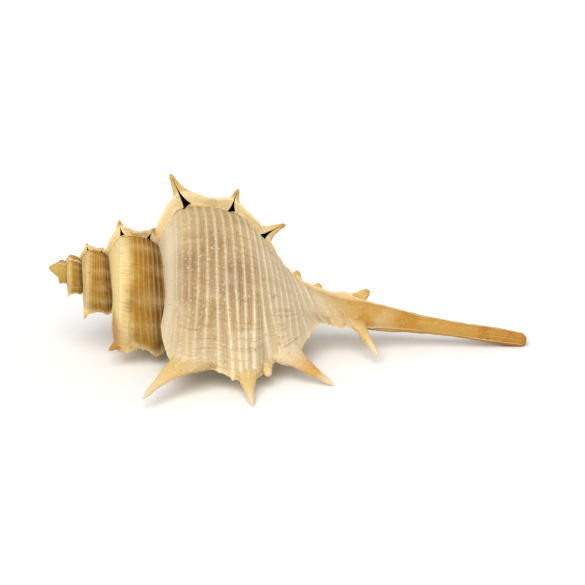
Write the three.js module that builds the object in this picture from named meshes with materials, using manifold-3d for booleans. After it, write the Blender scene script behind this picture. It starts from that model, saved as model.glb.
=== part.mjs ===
// A murex shell lying on its aperture side, in millimetres, +Z up.
// The shell grew as one piece: a tube coiled round an axis and built out in stages. Each stage
// turns about a third of the way round and ends in a varix, a thickened lip with a row of spines.
import * as THREE from "three";
import { ParametricGeometry } from "three/addons/geometries/ParametricGeometry.js";
import { mergeVertices } from "three/addons/utils/BufferGeometryUtils.js";
import Module from "manifold-3d";

const wasm = await Module();
wasm.setup();
const { degToRad, smoothstep, lerp, clamp } = THREE.MathUtils;

// Driving dimensions. In the shell's own frame the coiling axis is X, from the apex at 0 to the canal.
const shellLength = 90.6;
const whorlRatio = 1.85; // every size grows by this in one turn
const fullTurn = 360;
// Degrees of growth from each varix to the lip, newest first.
const varixGrowths = [
  0.15, -117.5, -235, -325, -470, -580, -684, -822.5, -930, -1040, -1157.5, -1275, -1392.5, -1510, -1627.5,
];
const stageLap = 4; // degrees by which a stage reaches back under the varix before it
const stageCount = 14;
const fineStages = 6; // the newest stages, which are made in more steps than the tip's
const fineShares = [0, 0.1, 0.2, 0.3, 0.4, 0.5, 0.6, 0.7, 0.82, 0.92, 1];
const coarseShares = [0, 0.2, 0.4, 0.6, 0.75, 0.9, 1];
const bodyStages = 3; // the newest stages, which also form the base and the canal
const bodyLap = 12; // degrees by which the oldest of these reaches back
const canalLap = 39.5; // and its base and canal, so that they close under the lip
const lapDepth = 0.25; // how far it is sunk where it starts
const canalStep = 0.05; // share by which the canal thickens over a stage
const lipAngle = degToRad(-42); // where the last varix stands round the axis
const nextSuture = new THREE.Vector2(44.2, 17.35); // where the next whorl would be cemented on
const suture = nextSuture.clone().divideScalar(whorlRatio);
const underSuture = suture.clone().add(new THREE.Vector2(0.26, -1.07)); // a whorl's edge, sunk in the last one
const shoulderX = 28;
const neckStart = 41;
const neckEnd = 53;
const canalX = 66; // from here to its end the canal keeps one size all the way round
const varixHeight = 2.04;
const varixStart = 0.68; // share of a stage where the surface starts to rise to its varix
const varixAtSuture = 0.8; // share of the varix's height
const varixLean = 0.7; // share of its height by which a varix stands out towards the apex at the suture
const varixOnNeck = 0.3;
const cordSpacing = 1.9;
const cordHeight = 0.26;
const cordOnVarix = 0.4; // share of a cord's height that is left on a varix
const ribSpacing = 0.2; // share of a stage from one axial rib to the next
const ribHeight = 0.35;
const foldStart = 0.5; // share of a stage where the wall starts to fold up into its spines
const spireFold = 1.4; // how much higher the folds of the spire are
const kneeFold = 2; // and those of its newest varix
const apexReach = 3; // distance along the axis in which the first whorls' extra width fades
const apexFlare = 0.7;
const apexCone = 0.7; // slope of the cone that the first whorls make

// The mouth, an oval in the plane of the lip, and the living chamber behind it.
const mouthCentre = new THREE.Vector2(37.2, 11.8);
const mouthTilt = degToRad(-14);
const mouthHalfLength = 9.2;
const mouthHalfWidth = 5;
const chamberDepth = 125; // degrees of growth
const rimRadius = 0.8;
const rimStep = 1.5; // degrees of growth by which the rim stands out from the lip

// How the shell lies: turned about its axis, canal end down, with the apex at this place.
const restRoll = degToRad(67.1);
const restPitch = degToRad(10.1);
const apexPlace = new THREE.Vector3(-44.71, 5.93, 16.79);

// The outline of the outer wall at the lip, distance along the axis against distance from it.
const outline = new THREE.SplineCurve([
  suture,
  new THREE.Vector2(25.2, 13.8),
  new THREE.Vector2(shoulderX, 18.4),
  new THREE.Vector2(33.5, 19.8),
  new THREE.Vector2(38.5, 19.7),
  new THREE.Vector2(42.2, 18.65),
  nextSuture,
  new THREE.Vector2(46.2, 15.4),
  new THREE.Vector2(48.5, 12.2),
  new THREE.Vector2(51, 7.9),
  new THREE.Vector2(54, 4.7),
  new THREE.Vector2(58, 3.05),
  new THREE.Vector2(62, 2.65),
  new THREE.Vector2(67, 2.1),
  new THREE.Vector2(72, 1.68),
  new THREE.Vector2(78, 1.55),
  new THREE.Vector2(86, 1.55),
  new THREE.Vector2(shellLength, 1.35),
]);
outline.arcLengthDivisions = 2000;
const outlineLength = outline.getLength();

// Kinds of spine: the length at the lip, and half the width and thickness of the flared root. The larger
// ones have a groove, and the wall folds up under them: how high, where, and half the fold's width.
const spines = {
  shoulder: { length: 13.5, width: 4.2, thickness: 1.6, fold: 1.6, x: 29, foldWidth: 3.2 },
  middle: { length: 9.4, width: 3.4, thickness: 1.5, fold: 1.1, x: 39.6, foldWidth: 2.6 },
  nub: { length: 2.6, width: 1.5, thickness: 1, flare: 1.2 },
  lower: { length: 10.3, width: 3.2, thickness: 1.4, fold: 1, x: 46.9, foldWidth: 2.2 },
  neck: { length: 1.6, width: 1.8, thickness: 0.8, flare: 1.2 },
  canal: { length: 8.1, width: 1.5, thickness: 0.9, fold: 0.9, x: 58.8, foldWidth: 1.3 },
  fin: { length: 3, width: 1.8, thickness: 0.8, flare: 1.1 },
  knee: { length: 8.4, width: 4.4, thickness: 3, flare: 1.4 },
};
const spineTip = 0.55; // radius at the lip
const smallestGrooved = 1.6; // shorter spines have no groove
const bodyFlare = 2.1; // how fast a root narrows to the shaft, on the last whorl
const spireFlare = 1.5;
const spineParts = [-0.2, 0.06, 0.25, 0.55, 1]; // shares of the length where its rings are
const smallParts = [-0.2, 0.2, 1];
const buriedThickness = 0.4; // share of the thickness that a root keeps inside the wall

// The spines of each varix, newest first: kind, share of its length, place on the outline, lean towards
// the canal in degrees from square to the axis, and share of its length by which it leans into the growth.
const varixSpines = [
  [
    ["shoulder", 1.035, 30.1, -36, 0.12],
    ["middle", 1, 39.6, 14, 0.12],
    ["nub", 1, 43.1, 20, 0.12],
    ["lower", 1, 46.9, 60, 0.12],
    ["canal", 1, 58.8, 33, 0.12],
  ],
  [
    ["shoulder", 0.63, 29.6, -36, 0.12],
    ["middle", 0.57, 39.6, 8, 0.12],
    ["lower", 0.59, 46.9, 53, 0.12],
    ["neck", 1, 52.6, 20, 0.12],
    ["neck", 0.8, 55.4, 25, 0.12],
    ["fin", 1, 60.2, 42, 0.05],
  ],
  [
    ["shoulder", 1.15, 28, -18, -0.1],
    ["middle", 0.8, 39.6, 10, 0],
    ["lower", 0.6, 46.9, 50, 0.12],
    ["canal", 0.6, 58.8, 32, 0.12],
  ],
  [
    ["knee", 0.97, 30, -48, 0.05],
    ["middle", 0.25, 41.5, 25, 0.05],
  ],
  [
    ["shoulder", 0.52, 28.9, -19, 0.12],
    ["middle", 0.6, 39.6, 24, 0.12],
  ],
  [["shoulder", 0.7, 28, -12, 0.12]],
  [["shoulder", 0.68, 28, -9, 0.05]],
  [
    ["shoulder", 0.45, 28.3, -12, 0.12],
    ["middle", 0.42, 38.6, 14, 0.12],
  ],
  [["shoulder", 0.6, 28, -12, 0.12]],
  [["shoulder", 0.6, 28, -8, 0.05]],
];

// Hollows of the lip between its spines: place on the outline, depth and half width.
const lipArcs = [
  { x: 33.7, depth: 1.2, width: 2.6 },
  { x: 44.6, depth: 3, width: 1.6 },
  { x: 51.8, depth: 3.4, width: 2.4 },
];

// A closed solid from a surface over the unit square whose edges close up on themselves.
function solidFrom(surface, slices, stacks) {
  const geometry = surface.isBufferGeometry ? surface : new ParametricGeometry(surface, slices, stacks);
  geometry.deleteAttribute("normal");
  geometry.deleteAttribute("uv");
  const merged = mergeVertices(geometry, 1e-4);
  const corners = merged.index.array;
  const triangles = [];
  for (let i = 0; i < corners.length; i += 3) {
    const [a, b, c] = corners.slice(i, i + 3);
    if (a !== b && b !== c && c !== a) triangles.push(a, b, c);
  }
  const vertProperties = merged.getAttribute("position").array;
  const triVerts = new Uint32Array(triangles);
  return new wasm.Manifold(new wasm.Mesh({ numProp: 3, vertProperties, triVerts }));
}

// A point at a distance along the axis, a distance from it and an angle round it.
function aroundAxis(x, radius, angle, target = new THREE.Vector3()) {
  return target.set(x, radius * Math.sin(angle), radius * Math.cos(angle));
}

// Size of the shell at an amount of growth, counted in degrees back from the lip.
function sizeAt(growth) {
  return whorlRatio ** (growth / fullTurn);
}

// A point of the outline at an amount of growth. The canal end doesn't grow, the whorl does.
function grownPoint(point, growth) {
  const share = 1 - smoothstep(point.x, nextSuture.x, canalX);
  return point.clone().multiplyScalar(sizeAt(growth) ** share);
}

// The wall's distance from the axis before it is scaled by its growth. The first whorls make a cone.
function wallRadius(point, size) {
  const young = Math.exp((-point.x * size) / apexReach);
  const cone = Math.min(point.x * apexCone, 20);
  return lerp(point.y, cone, 0.85 * young) * (1 + apexFlare * young);
}

// A bump that is 1 at a place and fades over its half width.
function bump(x, place, width) {
  return Math.exp(-(((x - place) / width) ** 2));
}

// How high the wall folds up under the spines, and how deep the lip's arcs are, along the axis.
function foldAt(x) {
  const folded = Object.values(spines).filter((spine) => spine.fold);
  return folded.reduce((sum, spine) => sum + spine.fold * bump(x, spine.x, spine.foldWidth), 0);
}

function arcAt(x) {
  return lipArcs.reduce((sum, arc) => sum + arc.depth * bump(x, arc.x, arc.width), 0);
}

// How much of the varix's height the outline has at a distance along the axis.
function varixShare(x) {
  const nearSuture = lerp(varixAtSuture, 1, smoothstep(x, suture.x, shoulderX));
  const nearNeck = lerp(1, varixOnNeck, smoothstep(x, neckStart, neckEnd));
  return nearSuture * nearNeck * (1 - smoothstep(x, neckEnd, canalX));
}

// The rows of a stage's surface: places on the outline, with ridges between hollows on the last whorl.
function outlineRows(stage) {
  const rampEnd = 9.5; // lengths along the outline
  const cordsEnd = 37;
  const whorlEnd = 29.5;
  const canalRows = 7;
  const inBody = stage < bodyStages;
  const spacing = cordSpacing * (stage < fineStages ? 1.7 : 2.6);
  const rows = [{ point: underSuture, ridge: 0.5 }];
  const addRow = (length, ridge = 0.5) => {
    rows.push({ point: outline.getPointAt(length / outlineLength), ridge });
  };
  for (let length = spacing; length < (inBody ? rampEnd : whorlEnd); length += spacing) {
    addRow(length);
  }
  if (!inBody) return rows;
  for (let length = rampEnd; length < cordsEnd; length += cordSpacing) {
    addRow(length, 1);
    addRow(length + cordSpacing / 2, 0);
  }
  for (let i = 1; i <= canalRows; i++) {
    addRow(lerp(cordsEnd, outlineLength, i / canalRows));
  }
  return rows;
}

// One stage of growth as a wedge that is filled in to the axis, from one varix to the next.
function growthStage(stage) {
  const lapAt = (x) => {
    if (stage !== bodyStages - 1) return stageLap;
    return lerp(bodyLap, canalLap, smoothstep(x, neckStart - 1, neckStart + 2.5));
  };
  const start = varixGrowths[stage + 1] - lapAt(0);
  const span = varixGrowths[stage] - start;
  const rows = outlineRows(stage);
  const shares = stage < fineStages ? fineShares : coarseShares;
  const middleSize = sizeAt(start + span / 2);
  const axisStart = (suture.x + 1.5) * middleSize;
  const axisEnd = stage < bodyStages ? shellLength : nextSuture.x * middleSize;
  const axisMiddle = lerp(axisStart, axisEnd, 0.3);
  const surface = (a, b, target) => {
    const step = Math.round(b * (shares.length + 1)) - 1;
    const row = rows.length - Math.round(a * (rows.length + 1));
    if (step < 0 || step >= shares.length) return target.set(axisMiddle, 0, 0);
    if (row < 0) return target.set(axisStart, 0, 0);
    if (row >= rows.length) return target.set(axisEnd, 0, 0);
    const share = shares[step];
    const { point, ridge } = rows[row];
    const growth = lerp(varixGrowths[stage + 1] - lapAt(point.x), varixGrowths[stage], share);
    const grown = grownPoint(point, growth);
    const size = grown.y / point.y;
    const rise = Math.max(0, share - varixStart) / (1 - varixStart);
    const covered = stage >= bodyStages && point.x > nextSuture.x;
    const folding = smoothstep(share, foldStart, 1) ** 1.5;
    const foldRise = stage === bodyStages ? kneeFold : spireFold;
    const fold = foldAt(point.x) * folding * (stage < bodyStages ? 1 : foldRise);
    const arc = stage === 0 ? arcAt(point.x) * folding : 0;
    const varix = covered ? 0 : varixHeight * varixShare(point.x) * rise ** 2 + fold - arc;
    const ribFade = smoothstep(point.x, suture.x, shoulderX) * (1 - smoothstep(point.x, neckStart, neckEnd));
    const onRib = share < varixStart ? Math.cos((2 * Math.PI * share) / ribSpacing) : -1;
    const rib = 0.5 * ribHeight * (onRib + 1) * ribFade * clamp(share / ribSpacing, 0, 1);
    const cordFade = lerp(1, cordOnVarix, rise) * (1 - smoothstep(point.x, neckEnd, canalX));
    const cord = cordHeight * (ridge - 0.5) * cordFade;
    const canal = canalStep * point.y * (share - 1) * smoothstep(point.x, nextSuture.x, canalX);
    const sunk = stage === bodyStages - 1 ? lapDepth * (1 - smoothstep(share, 0, 0.25)) : 0;
    const radius = size * (wallRadius(point, size) + varix + rib + cord + canal - sunk);
    const ramp = 1 - smoothstep(point.x, suture.x, shoulderX + 3);
    const x = grown.x - size * varix * varixLean * ramp;
    return aroundAxis(x, radius, lipAngle - degToRad(growth), target);
  };
  return solidFrom(surface, rows.length + 1, shares.length + 1);
}

// The share of the outline's length at which it is a given distance along the axis.
function arcShareAt(x) {
  let low = 0;
  let high = 1;
  for (let i = 0; i < 30; i++) {
    const middle = (low + high) / 2;
    if (outline.getPointAt(middle).x < x) low = middle;
    else high = middle;
  }
  return low;
}

// The line of a spine's core on a varix, with the direction of growth that its groove faces.
function spineCore(stage, kind, share, x, lean, ahead) {
  const { length, width, thickness, fold, flare = stage < bodyStages ? bodyFlare : spireFlare } = spines[kind];
  const growth = varixGrowths[stage];
  const onOutline = outline.getPointAt(arcShareAt(x));
  const root = grownPoint(onOutline, growth);
  const size = root.y / onOutline.y;
  root.y = size * wallRadius(onOutline, size);
  const angle = lipAngle - degToRad(growth);
  const reach = length * share * size;
  const tilt = degToRad(lean);
  const forward = new THREE.Vector3(0, -Math.cos(angle), Math.sin(angle));
  const setBack = -0.7 * thickness * size; // so that its front is nearly flush with the varix's
  const along = (part, bend, step) => {
    const out = root.y + reach * part * Math.cos(tilt + bend);
    const place = aroundAxis(root.x + reach * part * Math.sin(tilt + bend), out, angle);
    return place.addScaledVector(forward, setBack + step * reach);
  };
  const curve = new THREE.QuadraticBezierCurve3(along(0, 0, 0), along(0.55, -0.12, 0), along(1, 0, ahead));
  const grooved = fold > 0 && reach > smallestGrooved;
  return { curve, forward, size, reach, flare, grooved, width: width * size, thickness: thickness * size };
}

// Directions across a spine at a part of its length: along its varix, and to its front.
function spineFrame({ curve, forward }, part) {
  const tangent = curve.getTangent(part);
  const side = new THREE.Vector3().crossVectors(tangent, forward).normalize();
  return { side, front: new THREE.Vector3().crossVectors(side, tangent) };
}

// A tapering spine with a flared root and a blunt tip.
function spineSolid(core) {
  const parts = core.reach > 3 ? spineParts : smallParts;
  const stacks = parts.length + 1;
  const slices = core.reach > 6 ? 6 : 5;
  const surface = (a, b, target) => {
    const ring = Math.round(b * stacks);
    const part = parts[clamp(ring - 1, 0, parts.length - 1)];
    const closed = ring === 0 || ring === stacks;
    const flare = Math.min(1, 1 - part) ** core.flare;
    const width = closed ? 0 : lerp(spineTip * core.size, core.width, flare);
    const buried = part < 0 ? buriedThickness : 1;
    const thickness = closed ? 0 : lerp(spineTip * core.size, core.thickness, flare) * buried;
    const { side, front } = spineFrame(core, part);
    const turn = (-2 * Math.PI * Math.round(a * slices)) / slices;
    return target
      .copy(core.curve.getPoint(part))
      .addScaledVector(side, width * Math.cos(turn))
      .addScaledVector(front, thickness * Math.sin(turn));
  };
  return solidFrom(surface, slices, stacks);
}

// The groove down the front of a spine, a wedge that is widest over the root.
function spineGroove(core) {
  const stacks = 3;
  const slices = 3;
  const surface = (a, b, target) => {
    const ring = Math.round(b * stacks);
    const part = clamp((ring - 1) / (stacks - 2), 0, 1);
    const closed = ring === 0 || ring === stacks;
    const width = closed ? 0 : lerp(0.2 * spineTip * core.size, 0.34 * core.width, (1 - part) ** 2);
    const corner = Math.round(a * slices) % slices;
    const across = [width, 0, -width][corner];
    const depth = closed ? 0 : [2, -0.3, 2][corner] * lerp(core.thickness, spineTip * core.size, part);
    const { side, front } = spineFrame(core, part);
    return target
      .copy(core.curve.getPoint(lerp(0.1, 0.88, part)))
      .addScaledVector(side, across)
      .addScaledVector(front, depth);
  };
  return solidFrom(surface, slices, stacks);
}

// A point on the edge of the living chamber at an amount of growth, some way out from its centre line.
function mouthEdge(turn, growth, scale, margin = 0, target = new THREE.Vector3()) {
  const halfLength = mouthHalfLength + margin;
  const halfWidth = mouthHalfWidth + margin;
  const offset = new THREE.Vector2(halfLength * Math.cos(turn), halfWidth * Math.sin(turn))
    .multiplyScalar(scale)
    .rotateAround(new THREE.Vector2(), mouthTilt);
  const centre = mouthCentre.clone().multiplyScalar(sizeAt(growth)).add(offset);
  return aroundAxis(centre.x, centre.y, lipAngle - degToRad(growth), target);
}

// The living chamber, from just outside the lip back into the last whorl.
function livingChamber() {
  const overshoot = 10; // degrees past the lip
  const stacks = 9;
  const slices = 14;
  const surface = (a, b, target) => {
    const ring = Math.round(b * stacks);
    const part = clamp((ring - 1) / (stacks - 2), 0, 1);
    const growth = lerp(overshoot, -chamberDepth, part);
    const closed = ring === 0 || ring === stacks;
    const scale = closed ? 0 : sizeAt(growth) * Math.sqrt(1 - 0.9 * part ** 3);
    return mouthEdge((-2 * Math.PI * Math.round(a * slices)) / slices, growth, scale, 0, target);
  };
  return solidFrom(surface, slices, stacks);
}

// The raised rim round the mouth.
function mouthRim() {
  const slices = 18;
  const turns = Array.from({ length: slices }, (_, i) => (2 * Math.PI * i) / slices);
  const path = new THREE.CatmullRomCurve3(turns.map((turn) => mouthEdge(turn, rimStep, 1, rimRadius)), true);
  return solidFrom(new THREE.TubeGeometry(path, slices, rimRadius, 6, true));
}

// The slit along the canal, from the mouth to the canal's end, turning under as the canal narrows.
function canalSlit() {
  const start = 46;
  const halfWidth = 0.42;
  const floor = 0.35; // from the axis
  const mouthTurn = 9; // degrees past the lip
  const endTurn = 46;
  const mouthTop = 9; // clear of the wall
  const endTop = 4;
  const stacks = 9;
  const slices = 4;
  const surface = (a, b, target) => {
    const ring = Math.round(b * stacks);
    const part = clamp((ring - 1) / (stacks - 2), 0, 1);
    const closed = ring === 0 || ring === stacks;
    const x = lerp(start, shellLength + 1, part);
    const turn = lipAngle - degToRad(lerp(mouthTurn, endTurn, smoothstep(x, neckEnd, canalX)));
    const top = lerp(mouthTop, endTop, part);
    const corner = Math.round(a * slices) % slices;
    const out = closed ? (top + floor) / 2 : [floor, top, top, floor][corner];
    const across = closed ? 0 : [halfWidth, halfWidth, -halfWidth, -halfWidth][corner];
    aroundAxis(x, out, turn, target);
    return target.add(new THREE.Vector3(0, across * Math.cos(turn), -across * Math.sin(turn)));
  };
  return solidFrom(surface, slices, stacks);
}

// The first whorls, a smooth cone with a rounded tip.
function apexKnob() {
  const ends = [0, 0.08, 0.3, 0.9, 1.7, 2.6];
  const profile = ends.map((x) => new THREE.Vector2(0.62 * x + 0.28 * (1 - Math.exp(-x / 0.2)), x));
  profile.push(new THREE.Vector2(0, ends.at(-1)));
  const knob = new THREE.LatheGeometry(profile, 10).rotateZ(-Math.PI / 2);
  return solidFrom(knob);
}

// The space below the surface that the shell lies on, seen from the shell's own frame.
function ground(restMatrix) {
  const depth = 20;
  const below = new THREE.BoxGeometry(3 * shellLength, 3 * shellLength, depth);
  below.translate(0, 0, -depth / 2);
  return solidFrom(below.applyMatrix4(restMatrix.clone().invert()));
}

// The whole shell: its stages and spines in one, with the mouth, canal and grooves hollowed out.
function shellSolid(restMatrix) {
  const pieces = [apexKnob(), mouthRim()];
  const hollows = [livingChamber(), canalSlit()];
  for (let stage = 0; stage < stageCount; stage++) {
    pieces.push(growthStage(stage));
  }
  varixSpines.forEach((kinds, stage) => {
    for (const settings of kinds) {
      const core = spineCore(stage, ...settings);
      pieces.push(spineSolid(core));
      if (core.grooved) hollows.push(spineGroove(core));
    }
  });
  hollows.push(ground(restMatrix));
  const grown = wasm.Manifold.union(pieces).subtract(wasm.Manifold.union(hollows));
  // Pockets sealed between a spine's root and the wall are filled.
  return grown.decompose().reduce((outer, part) => (part.volume() > outer.volume() ? part : outer));
}

// The finished solid as a three.js geometry.
function geometryOf(solid) {
  const { vertProperties, triVerts } = solid.getMesh();
  const geometry = new THREE.BufferGeometry();
  geometry.setAttribute("position", new THREE.BufferAttribute(vertProperties, 3));
  geometry.setIndex(new THREE.BufferAttribute(triVerts, 1));
  geometry.computeVertexNormals();
  return geometry;
}

const lime = new THREE.MeshStandardMaterial({ color: 0xdcc79c, roughness: 0.55, metalness: 0 });
const shell = new THREE.Mesh(new THREE.BufferGeometry(), lime);
shell.name = "shell";
shell.rotation.set(restRoll, restPitch, 0, "ZYX");
shell.position.copy(apexPlace);
shell.updateMatrix();
shell.geometry = geometryOf(shellSolid(shell.matrix));

const murex = new THREE.Group();
murex.add(shell);

export default murex;
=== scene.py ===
import math
import bpy
from mathutils import Matrix, Vector


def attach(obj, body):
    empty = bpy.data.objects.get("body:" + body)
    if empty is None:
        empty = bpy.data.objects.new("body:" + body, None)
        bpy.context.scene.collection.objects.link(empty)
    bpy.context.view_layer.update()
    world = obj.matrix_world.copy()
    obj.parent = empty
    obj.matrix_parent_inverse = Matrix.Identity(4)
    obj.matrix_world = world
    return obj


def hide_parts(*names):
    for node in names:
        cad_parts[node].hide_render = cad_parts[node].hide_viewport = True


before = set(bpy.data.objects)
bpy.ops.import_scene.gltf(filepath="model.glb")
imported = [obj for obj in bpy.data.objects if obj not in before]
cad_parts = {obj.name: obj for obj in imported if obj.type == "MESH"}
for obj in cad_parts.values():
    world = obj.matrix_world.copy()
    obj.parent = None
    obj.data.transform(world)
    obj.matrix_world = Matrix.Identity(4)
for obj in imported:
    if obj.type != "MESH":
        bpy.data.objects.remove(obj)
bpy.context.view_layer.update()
scene = bpy.context.scene


# one socket of a node tree: sums on it add Math or Vector Math nodes
class Sock:
    def __init__(self, build, socket):
        self.build = build
        self.socket = socket

    def out(self, name):
        return Sock(self.build, self.socket.node.outputs[name])

    def isVector(self):
        return self.socket.type == "VECTOR"

    def __add__(self, other):
        return self.build.sum("ADD", self, other)

    def __radd__(self, other):
        return self.build.sum("ADD", other, self)

    def __sub__(self, other):
        return self.build.sum("SUBTRACT", self, other)

    def __rsub__(self, other):
        return self.build.sum("SUBTRACT", other, self)

    def __mul__(self, other):
        return self.build.sum("MULTIPLY", self, other)

    def __rmul__(self, other):
        return self.build.sum("MULTIPLY", self, other)

    def __truediv__(self, other):
        return self.build.sum("DIVIDE", self, other)

    def __rtruediv__(self, other):
        return self.build.sum("DIVIDE", other, self)

    def __pow__(self, other):
        return self.build.sum("POWER", self, other)

    def __rpow__(self, other):
        return self.build.sum("POWER", other, self)


# adds nodes to one tree
class Build:
    def __init__(self, tree):
        self.tree = tree

    # a node's type, its settings, then its sockets by place or by name
    def add(self, kind, settings=None, *values, **named):
        node = self.tree.nodes.new(kind)
        for key, value in (settings or {}).items():
            if key == "stops":
                self.setStops(node.color_ramp, value)
            else:
                setattr(node, key, value)
        live = [socket for socket in node.inputs if socket.enabled]
        for place, value in enumerate(values):
            self.feed(live[place], value)
        for name, value in named.items():
            self.feed(next(socket for socket in live if socket.name == name), value)
        shown = [socket for socket in node.outputs if socket.enabled]
        return Sock(self, shown[0]) if shown else node

    def feed(self, socket, value):
        for one in value if isinstance(value, list) else [value]:
            if isinstance(one, Sock):
                self.tree.links.new(one.socket, socket)
            else:
                socket.default_value = one

    def setStops(self, ramp, stops):
        while len(ramp.elements) < len(stops):
            ramp.elements.new(0.5)
        for element, (place, colour) in zip(ramp.elements, stops):
            element.position = place
            element.color = colour

    def sum(self, operation, first, second):
        vectors = [isinstance(one, Sock) and one.isVector() for one in (first, second)]
        if not any(vectors):
            return self.add("ShaderNodeMath", {"operation": operation}, first, second)
        if operation == "MULTIPLY" and not all(vectors):
            vector, number = (first, second) if vectors[0] else (second, first)
            return self.add("ShaderNodeVectorMath", {"operation": "SCALE"}, vector, number)
        return self.add("ShaderNodeVectorMath", {"operation": operation}, first, second)

    def calc(self, operation, *values):
        return self.add("ShaderNodeMath", {"operation": operation}, *values)

    def vector(self, operation, *values):
        return self.add("ShaderNodeVectorMath", {"operation": operation}, *values)

    def below(self, value, limit):
        return self.calc("LESS_THAN", value, limit)

    def clamp(self, value):
        return self.add("ShaderNodeClamp", None, value, 0, 1)

    # 0 to 1 between two limits, easing at both
    def smooth(self, value, low, high):
        return self.add("ShaderNodeMapRange", {"interpolation_type": "SMOOTHSTEP"}, value, low, high, 0, 1)

    def mix(self, low, high, share):
        return low + (high - low) * share

    def combine(self, x, y, z):
        return self.add("ShaderNodeCombineXYZ", None, x, y, z)

    def wave(self, phase):
        return self.calc("COSINE", phase * (2 * math.pi)) * 0.5 + 0.5

    def noise(self, place, scale, detail=2.0, rough=0.5):
        return self.add("ShaderNodeTexNoise", {"noise_dimensions": "3D"}, Vector=place, Scale=scale,
                        Detail=detail, Roughness=rough)


# sizes in millimetres in the shell's own frame: X from the apex along the coiling axis
shell = {
    "length": 90.6,
    "whorlRatio": 1.85,  # growth of every size in one turn
    # degrees of growth from each varix to the lip, newest first
    "varices": [0.15, -117.5, -235, -325, -470, -580, -684, -822.5, -930, -1040, -1157.5, -1275, -1392.5,
                -1510, -1627.5],
    "lipAngle": -42.0,
    "stageCount": 14,
    "bodyStages": 3,
    "stageLap": 4,  # degrees by which a stage reaches back under the varix before it
    "bodyLap": 12,  # the same for the oldest stage of the last whorl
    "canalLap": 39.5,  # and for its base and canal, which close under the lip
    "varixHeight": 2.4,
    "varixStart": 0.68,
    "varixLean": 0.7,  # at the suture a varix stands out towards the apex as well
    "cordSpacing": 1.9,
    "cordHeight": 0.3,
    "ribHeight": 0.3,
    "bodyRows": 226,
    "bodyColumns": 80,
    "spireRows": 104,
    "spireColumns": 62,
    "neckStart": 41.0,
    "neckEnd": 53.0,
    "canalX": 66.0,
    "shoulderX": 28.0,
    "sutureX": 44.2 / 1.85,
    "nextSutureX": 44.2,
    "rampLength": 9.5,  # along the outline, from the suture to the shoulder
    "outline": [(44.2 / 1.85, 17.35 / 1.85), (25.2, 13.8), (28, 18.4), (33.5, 19.8), (38.5, 19.7),
                (42.2, 18.65), (44.2, 17.35), (46.2, 15.4), (48.5, 12.2), (51, 7.9), (54, 4.7), (58, 3.05),
                (62, 2.65), (67, 2.1),
                (72, 1.68), (78, 1.55), (86, 1.55), (90.6, 1.35)],
    "apexFlare": 0.7,  # the first whorls are wider than the growth alone makes them
    "apexReach": 3.0,
    "foldStart": 0.5,  # share of a stage where the wall starts to fold up into its spines
    "rest": {"roll": 67.1, "pitch": 10.1, "apex": (-44.71, 5.93, 16.79)},
}

# each kind of spine: its length at the lip, half its root's width and thickness, and the wall's fold under it
spineKinds = {
    "shoulder": {"length": 13.5, "width": 4.2, "thickness": 1.6, "fold": 1.6, "x": 29.0, "foldWidth": 3.2},
    "middle": {"length": 9.4, "width": 3.4, "thickness": 1.5, "fold": 1.1, "x": 39.6, "foldWidth": 2.6},
    "nub": {"length": 2.6, "width": 1.5, "thickness": 1.0, "flare": 1.2},
    "lower": {"length": 10.3, "width": 3.2, "thickness": 1.4, "fold": 1.0, "x": 46.9, "foldWidth": 2.2},
    "neck": {"length": 1.6, "width": 1.8, "thickness": 0.8, "flare": 1.2},
    "canal": {"length": 8.1, "width": 1.5, "thickness": 0.9, "fold": 0.9, "x": 58.8, "foldWidth": 1.3},
    "fin": {"length": 3.0, "width": 1.8, "thickness": 0.8, "flare": 1.1},
    "knee": {"length": 8.4, "width": 4.4, "thickness": 3.0, "flare": 1.4},
}
# spines of each varix, newest first: kind, share of its length, place on the outline, lean towards the
# canal, and how far it leans into the growth
varixSpines = [
    [("shoulder", 1.035, 30.1, -36, 0.12), ("middle", 1, 39.6, 14, 0.12), ("nub", 1, 43.1, 20, 0.12),
     ("lower", 1, 46.9, 60, 0.12), ("canal", 1, 58.8, 33, 0.12)],
    [("shoulder", 0.63, 29.6, -36, 0.12), ("middle", 0.57, 39.6, 8, 0.12), ("lower", 0.59, 46.9, 53, 0.12),
     ("neck", 1, 52.6, 20, 0.12), ("neck", 0.8, 55.4, 25, 0.12), ("fin", 1, 60.2, 42, 0.05)],
    [("shoulder", 1.15, 28, -18, -0.1), ("middle", 0.8, 39.6, 10, 0), ("lower", 0.6, 46.9, 50, 0.12),
     ("canal", 0.6, 58.8, 32, 0.12)],
    [("knee", 0.97, 30, -48, 0.05), ("middle", 0.25, 41.5, 25, 0.05)],
    [("shoulder", 0.52, 28.9, -19, 0.12), ("middle", 0.6, 39.6, 24, 0.12)],
    [("shoulder", 0.7, 28, -12, 0.12)],
    [("shoulder", 0.68, 28, -9, 0.05)],
    [("shoulder", 0.45, 28.3, -12, 0.12), ("middle", 0.42, 38.6, 14, 0.12)],
    [("shoulder", 0.6, 28, -12, 0.12)],
    [("shoulder", 0.6, 28, -8, 0.05)],
]
# hollows of the lip between its spines: place on the outline, depth and half width
lipArcs = [(33.7, 1.2, 2.6), (44.6, 3.0, 1.6), (51.8, 3.4, 2.4)]
spineShape = {"tip": 0.55, "bodyFlare": 2.1, "spireFlare": 1.5, "buried": 0.2, "rings": 34, "around": 25}
mouth = {"centre": (37.2, 11.8), "tilt": -14, "halfLength": 9.2, "halfWidth": 5.0, "depth": 125,
         "rim": 0.8, "rimStep": 1.5}


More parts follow.
